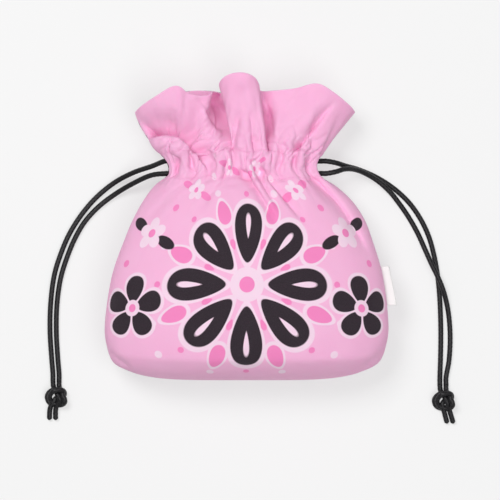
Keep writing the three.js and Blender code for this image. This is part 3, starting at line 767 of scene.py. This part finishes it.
def rosette_print(x, y, cloth):
    """A large rosette of eight petals with buds and dots, and small flowers towards the sides and neck."""
    y = y - ROSETTE_MIDDLE
    across, out, radius = in_a_ring(x, y, ROSETTE_PETALS)
    between, between_out, _ = in_a_ring(x, y, ROSETTE_PETALS, 0.5)
    dark = petal(across, out, *DARK_PETAL)
    bud = petal(between, between_out, *BUD)
    layers = [
        (dark - PETAL_RIM, PALE_PINK),
        (bud - BUD_RIM, PALE_PINK),
        (dark, PLUM),
        (petal(across, out, *PETAL_STROKE), PALE_PINK),
        (bud, HOT_PINK),
        (petal(between, between_out, *INNER_DROP), HOT_PINK),
        (petal(between, between_out, *OUTER_DOT), PALE_PINK),
        (petal(across, out, *TIP_DOT), HOT_PINK),
        (radius - ROSETTE_RING, PALE_PINK),
        (radius - ROSETTE_HEART, HOT_PINK),
    ]
    side = abs(x)
    for flower_x, flower_y, size in SMALL_FLOWERS:
        from_x, from_y = side - flower_x, y - flower_y
        across, out, radius = in_a_ring(from_x, from_y, FLOWER_PETALS)
        leaf, leaf_out, _ = in_a_ring(from_x, from_y, FLOWER_LEAVES, LEAF_TURN)
        layers += [
            (petal(leaf, leaf_out, *(size * part for part in FLOWER_LEAF)), PLUM if size > 1 else HOT_PINK),
            (petal(across, out, *(size * part for part in FLOWER_PETAL)), PALE_PINK),
            (radius - size * FLOWER_HEART, HOT_PINK),
        ]
    across, out, radius = in_a_ring(side - BLOSSOM_PLACE[0], y - BLOSSOM_PLACE[1], FLOWER_PETALS)
    dark = petal(across, out, *BLOSSOM_PETAL)
    layers += [
        (dark - BLOSSOM_RIM, PALE_PINK),
        (dark, PLUM),
        (radius - BLOSSOM_RING, PALE_PINK),
        (radius - BLOSSOM_HEART, HOT_PINK),
    ]
    for dot_x, dot_y, size, ink in DOTS:
        from_x, from_y = side - dot_x, y - dot_y
        layers.append(((from_x * from_x + from_y * from_y).math("SQRT") - size, ink))
    return overprinted(cloth, layers)


def daisy_print(x, y, cloth):
    """Small dark daisies with two leaves, in rows set half a repeat apart, with dots between them."""
    wide, tall = DAISY_REPEAT
    shift = (y / tall).math("FLOOR").math("MODULO", 2) * 0.5
    local_x = ((x / wide + shift + REPEATS_LEFT).math("FRACT") - 0.5) * wide
    local_y = ((y / tall).math("FRACT") - 0.5) * tall
    across, out, radius = in_a_ring(local_x, local_y - DAISY_RAISE, DAISY_PETALS)
    daisy = petal(across, out, *DAISY_PETAL)
    from_leaf, below = abs(local_x) - DAISY_LEAF_OUT, local_y + DAISY_LEAF_DROP
    way_x, way_y = DAISY_LEAF_WAY
    leaf = petal(from_leaf * way_y + below * way_x, from_leaf * way_x - below * way_y, *DAISY_LEAF)
    from_dot = abs(local_x) - wide / 2
    dot = (from_dot * from_dot + local_y * local_y).math("SQRT")
    return overprinted(cloth, [
        (daisy - DAISY_RIM, PALE_PINK),
        (daisy, PLUM),
        (leaf, PLUM),
        (radius - DAISY_HEART, HOT_PINK),
        (dot - DAISY_DOT, PALE_PINK),
    ])


def cotton_finish(name, pattern=None):
    """Plain-woven cotton: a printed pattern, yarns that differ slightly, and a soft dry sheen."""
    material, shader, place = finish(
        name, roughness=0.82, gloss=0.22, sheen=0.08, sheen_tint=(1, 0.80, 0.9, 1))
    shader.inputs["Subsurface Weight"].default_value = 0.25
    shader.inputs["Subsurface Radius"].default_value = (0.9, 0.5, 0.7)
    shader.inputs["Subsurface Scale"].default_value = 2.5 * CLOTH
    split = place.node("SeparateXYZ", {}, {0: place})
    x = (split - 0.5) * (1000 * PANEL_FLAT[0])
    y = split.other("Y") * (1000 * PANEL_FLAT[1])
    spot = place.node("CombineXYZ", {}, {0: x, 1: y})
    cloud = place.node("TexNoise", {}, {"Vector": spot, "Scale": 0.05, "Detail": 2.0})
    colour = cloud.over(PINK, PINK_DEEP)
    if pattern:
        colour = pattern(x, y, colour)
    slub = place.node("TexNoise", {}, {"Vector": spot, "Scale": 1.4, "Detail": 2.0})
    colour = (slub * SLUB_SHARE).over(colour, SLUB_PINK)
    colour.feeds(shader, "Base Color")
    weave = (x * (math.pi / WEAVE)).math("SINE") * (y * (math.pi / WEAVE)).math("SINE") + slub
    bump = weave.node("Bump", {}, {"Height": weave, "Strength": 0.35, "Distance": 0.00008})
    bump.feeds(shader, "Normal")
    (slub * 0.1 + 0.77).feeds(shader, "Roughness")
    return material


def thickened(sheet, thickness, inner_finish=0):
    """Gives a sheet its thickness, half to each side, with another of its finishes on the inner one."""
    wall = sheet.modifiers.new("thickness", "SOLIDIFY")
    wall.thickness = thickness
    wall.offset = 0
    wall.material_offset = inner_finish


def softened(sheet):
    """Rounds a sheet's edges and folds."""
    soft = sheet.modifiers.new("soft_edges", "SUBSURF")
    soft.levels = soft.render_levels = 1


inner_cotton = cotton_finish("plain_pink_cotton")
printed = {
    "front": cotton_finish("rosette_cotton", rosette_print),
    "back": cotton_finish("daisy_cotton", daisy_print),
}
panels = {}
for name in ("front", "back"):
    points = panel_points(name)
    facing = outwards(points)
    middle = points[:, len(ACROSS) // 2]
    far = np.concatenate([[0], np.cumsum(np.linalg.norm(np.diff(middle, axis=0), axis=1))])
    flat = np.stack(np.broadcast_arrays(ACROSS, (far / far[-1])[:, None]), axis=2)
    shape = bmesh.new()
    bent_grid(shape, points, flat)
    panel = as_piece(name + "_panel_cotton", shape, printed[name], inner_cotton)
    held = np.full(points.shape[:2], LIGHTLY_HELD)
    held[-RIM_ROWS:] = RIM_HELD
    for stitched in STITCH_ROWS:
        held[BASE_ROWS + np.abs(BODY_ROWS - stitched).argmin()] = STITCH_HELD
    held[:, :SEWN_COLUMNS] = held[:, -SEWN_COLUMNS:] = 1
    held[:SEWN_ROWS] = 1
    near_neck = np.exp(-((middle[:, 1] - STITCH_ROWS[1]) / GATHER_REACH) ** 2)
    from_seam = smooth_step(np.minimum(ACROSS, 1 - ACROSS), *SETTLE_EASE)
    share = (mixed(SETTLE_AWAY, 1, near_neck)[:, None] * from_seam)[..., None]
    points = points + share * settled(panel, held, panel_points(name, CUT_DEEPER))
    points = creased(points, CREASES[name], facing)
    points[..., 2] = np.maximum(points[..., 2], CLOTH / 2 + SEAM_GAP)
    panel.data.vertices.foreach_set("co", points.ravel())
    panel.data.update()
    thickened(panel, CLOTH, inner_finish=1)
    softened(panel)
    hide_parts(name + "_panel")
    name + "_cotton"
    panels[name] = panel

# Casing: a strip of the same cotton, without print, sewn inside each panel along both of its edges. It
# stands off in its middle, so that the cords run between it and the panel, and shows only through the mouth.
STRIP = 0.001  # thickness of its cotton
CASING_HALF = 0.0074
CHANNEL_HALF = 0.0054  # the strip stands off over this half height
CLEAR = 0.0018  # between the panel's deepest folds and the cords
CORD_ROOM = 0.0005  # between the cords and the strip
PLEAT = 0.0009  # the strip is gathered with its panel into folds of this depth
PLEAT_DRAW = 2.4  # and its sloping edges are drawn together with them, by this many times as much
STRIP_ROWS, STRIP_COLUMNS = 17, 89

for name, way in (("front", 1), ("back", -1)):
    across = np.linspace(0, 1, STRIP_COLUMNS)
    rows = []
    for rise in np.linspace(-CASING_HALF, CASING_HALF, STRIP_ROWS):
        section = section_at(CASING_Y + rise)
        at_edge = section[GATHER] + CLOTH / 2 + SEAM_GAP + STRIP / 2
        at_bottom = section[GATHER] + CLOTH / 2 + CLEAR + CORD + CORD_ROOM + STRIP / 2
        to_edge = smooth_step(abs(rise), CHANNEL_HALF, CASING_HALF)
        row = across_section(way, section, across, inset=mixed(at_bottom, at_edge, to_edge))
        pleats = 0.5 - 0.5 * np.cos(2 * np.pi * GATHERS * across)
        row[:, 2] -= way * PLEAT * (1 - to_edge) * pleats
        row[:, 1] -= np.sign(rise) * PLEAT_DRAW * PLEAT * to_edge * (1 - to_edge) * pleats
        rows.append(row)
    points = np.array(rows)
    flat = np.stack(np.broadcast_arrays(across, np.linspace(0, 1, STRIP_ROWS)[:, None]), axis=2)
    shape = bmesh.new()
    bent_grid(shape, points, flat)
    strip = as_piece(name + "_casing_cotton", shape, inner_cotton)
    thickened(strip, STRIP)
    softened(strip)
    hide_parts(name + "_casing")

# Hidden runs of the drawcords: the same black braid. Each cord goes in by its slit, once round the neck in
# the channel of the casing, and out again beside itself, so that pulling both cords closes the mouth.
LOOP_POINTS = 41
CORD_EXIT = 0.0012  # the slit's mouth stands this far out from the neck
TURN_IN = 0.026  # share of the way round the neck where a cord bends in from the slit or out to it


def in_channel(part, y):
    """A point of a cord's ring in the channel, some part of the way round from the left over the front."""
    section = section_at(y)
    inset = section[GATHER] + CLOTH / 2 + CLEAR + CORD / 2
    way = 1 if part < 0.5 else -1
    return across_section(way, section, np.array([2 * part % 1]), inset=inset)[0]


for name, hand in (("left", -1), ("right", 1)):
    first, last = slit_mouth(hand, True), slit_mouth(hand, False)
    inward = np.array((-hand * (CORD_EXIT + LEAD), 0, 0))
    ring = []
    for part in np.linspace(TURN_IN, 1 - TURN_IN, LOOP_POINTS):
        turned = part if hand == -1 else (1.5 - part) % 1
        ring.append(in_channel(turned, CASING_Y - hand * CORD_SPREAD * math.cos(math.pi * part)))
    line = smooth_line([first, first + inward, *ring, last + inward, last], 2 * BRAID_STEP)
    shape = bmesh.new()
    braided_tube(shape, line)
    loop = as_piece(name + "_cord_loop_braid", shape, black_braid)
    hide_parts(name + "_cord_loop")

# Topstitching: two rows of pink thread round the neck hold the casing to each panel. Each stitch is a short
# rounded length of thread that dips into the cloth at both ends.
STITCH = 0.0024  # from one stitch to the next
STITCH_LENGTH = 0.0019
THREAD = 0.00045
THREAD_RAISE = 0.25 * THREAD  # the thread's middle lies this far above the cloth
THREAD_SIDES = 6
LEFT_OUT = 2  # stitches at each end that are hidden in the side seam
THREAD_DEEP = (0.80, 0.32, 0.57, 1)
THREAD_PINK = (0.90, 0.45, 0.68, 1)


def thread_finish():
    """Shiny twisted sewing thread, a shade deeper than the cloth."""
    material, shader, place = finish(
        "pink_thread", roughness=0.5, gloss=0.4, sheen=0.1, sheen_tint=(1, 0.8, 0.9, 1),
        coordinates="Object")
    twist = place.node("TexNoise", {}, {"Vector": place, "Scale": 2500.0, "Detail": 1.0})
    twist.over(THREAD_DEEP, THREAD_PINK).feeds(shader, "Base Color")
    (twist * 0.2 + 0.42).feeds(shader, "Roughness")
    return material


pink_thread = thread_finish()
for name, panel in panels.items():
    corners = np.array([corner.co for corner in panel.data.vertices]).reshape(-1, len(ACROSS), 3)
    facing = outwards(corners)
    shape = bmesh.new()
    for height in STITCH_ROWS:
        row = int(np.abs(BODY_ROWS - height).argmin()) + BASE_ROWS
        line = corners[row] + facing[row] * (CLOTH / 2 + THREAD_RAISE)
        length = np.linalg.norm(np.diff(line, axis=0), axis=1).sum()
        count = round(length / STITCH)
        middles = evenly(line, 2 * count + 1)[1::2]
        ahead = unit(np.gradient(middles, axis=0))
        for middle, way in zip(middles[LEFT_OUT:-LEFT_OUT], ahead[LEFT_OUT:-LEFT_OUT]):
            turn = Vector(way).to_track_quat("X", "Z").to_matrix().to_4x4()
            size = Matrix.Diagonal((STITCH_LENGTH / 2, THREAD / 2, THREAD / 2, 1))
            bmesh.ops.create_uvsphere(shape, u_segments=THREAD_SIDES, v_segments=THREAD_SIDES, radius=1,
                                      matrix=Matrix.Translation(middle) @ turn @ size)
    stitches = as_piece(name + "_casing_stitches", shape, pink_thread)
    name + "_cotton"

# Label: a blank white woven ribbon, folded on itself and held by its two ends in the right side seam. The
# fold stands out from the pouch's side.
LABEL_TOP, LABEL_HEIGHT = 0.006, 0.022
LABEL_REACH = 0.0059
LABEL_THICK, LABEL_PLY = 0.0012, 0.0005
LABEL_FROM = -0.0002  # its ends lie in the seam
LABEL_SWELL = 0.0003  # how far its fold bulges past the flat plies
LABEL_COLUMNS = 31
PLY_STEPS, FOLD_STEPS = 10, 13
# The ribbon's white, with painted shade in the grooves between its ribs.
RIB_GROOVE_PAINTED_SHADE, RIB_PALE = (0.80, 0.79, 0.78, 1), (0.88, 0.87, 0.86, 1)
RIBS = 260  # ribs over the ribbon's length, as an angle


def ribbon_finish():
    """White satin-edged ribbon with a fine rib across it, painted darker in the grooves between the ribs as
    painted shade.
    """
    material, shader, place = finish(
        "white_ribbon", roughness=0.55, gloss=0.4, sheen=0.1, sheen_tint=(1, 1, 1, 1))
    split = place.node("SeparateXYZ", {}, {0: place})
    rib = (split.other("Y") * RIBS).math("SINE") * 0.5 + 0.5
    edge = (abs(split - 0.5) * 2).math("GREATER_THAN", 0.9)
    # Painted shade: the grooves between the ribs are painted darker than their crests.
    rib.over(RIB_GROOVE_PAINTED_SHADE, RIB_PALE).feeds(shader, "Base Color")
    (0.6 - edge * 0.15).feeds(shader, "Roughness")
    bump = rib.node("Bump", {}, {"Height": rib, "Strength": 0.4, "Distance": 0.00006})
    bump.feeds(shader, "Normal")
    return material


top, foot = section_at(LABEL_TOP), section_at(LABEL_TOP - LABEL_HEIGHT)
bend = (LABEL_THICK - LABEL_PLY) / 2
half_turn = np.linspace(-np.pi / 2, np.pi / 2, FOLD_STEPS)
straight = np.linspace(0, LABEL_REACH - LABEL_THICK / 2, PLY_STEPS, endpoint=False)
out = np.concatenate([straight, straight.max() + bend * np.cos(half_turn) + LABEL_SWELL, straight[::-1]])
up = np.concatenate([np.full(PLY_STEPS, -bend), bend * np.sin(half_turn), np.full(PLY_STEPS, bend)])
drop = np.linspace(0, LABEL_HEIGHT, LABEL_COLUMNS)
lean = (foot[HALF] - top[HALF]) / LABEL_HEIGHT
x = top[HALF] + top[SHIFT] + LABEL_FROM + out[:, None] + lean * drop
y = np.broadcast_to(LABEL_TOP - drop, x.shape)
z = np.broadcast_to((top[SEAM] + foot[SEAM]) / 2 + up[:, None], x.shape)
points = np.stack([x, y, z], axis=2)
flat = np.stack(np.broadcast_arrays(drop / LABEL_HEIGHT, np.linspace(0, 1, len(out))[:, None]), axis=2)
shape = bmesh.new()
bent_grid(shape, points, flat)
bmesh.ops.reverse_faces(shape, faces=shape.faces)
label = as_piece("side_label_ribbon", shape, ribbon_finish())
thickened(label, LABEL_PLY)
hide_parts("side_label")

# Floor and light: a plain pale floor that glows a little, so that shadows on it stay faint, under two soft
# studio lights, the key from the upper left and a fill from the lower right, with even light all round.
FLOOR_SIZE = 6.0
FLOOR_DARK, FLOOR_PALE = (0.34, 0.34, 0.34, 1), (0.35, 0.35, 0.35, 1)
FLOOR_GLOW = 0.55
WHITE = (1, 1, 1, 1)
ROOM_LIGHT = 0.25
LIGHTS = {  # place, size and power
    "key": ((-0.45, 0.55, 1.35), 0.6, 12.2),
    "fill": ((0.38, -0.28, 1.50), 1.0, 11.0),
}

floor_shape = bmesh.new()
bmesh.ops.create_grid(floor_shape, x_segments=1, y_segments=1, size=FLOOR_SIZE / 2)
floor_mesh = bpy.data.meshes.new("floor")
floor_shape.to_mesh(floor_mesh)
floor_shape.free()
floor = bpy.data.objects.new("floor", floor_mesh)
scene.collection.objects.link(floor)
floor_paint, floor_shader, floor_place = finish(
    "pale_floor", roughness=0.9, gloss=0.0, sheen=0.0, sheen_tint=WHITE, coordinates="Object")
grain = floor_place.node("TexNoise", {}, {"Vector": floor_place, "Scale": 3.0})
grain.over(FLOOR_DARK, FLOOR_PALE).feeds(floor_shader, "Base Color")
floor_shader.inputs["Emission Color"].default_value = WHITE
floor_shader.inputs["Emission Strength"].default_value = FLOOR_GLOW
floor_mesh.materials.append(floor_paint)

world = bpy.data.worlds.new("studio")
world.use_nodes = True
sky = world.node_tree.nodes["Background"]
sky.inputs["Color"].default_value = WHITE
sky.inputs["Strength"].default_value = ROOM_LIGHT
scene.world = world
for name, (place, size, power) in LIGHTS.items():
    light = bpy.data.lights.new(name, "AREA")
    light.size = size
    light.energy = power
    lamp = bpy.data.objects.new(name, light)
    lamp.location = place
    lamp.rotation_euler = (-Vector(place)).to_track_quat("-Z", "Y").to_euler()
    scene.collection.objects.link(lamp)
scene.view_settings.view_transform = "Standard"
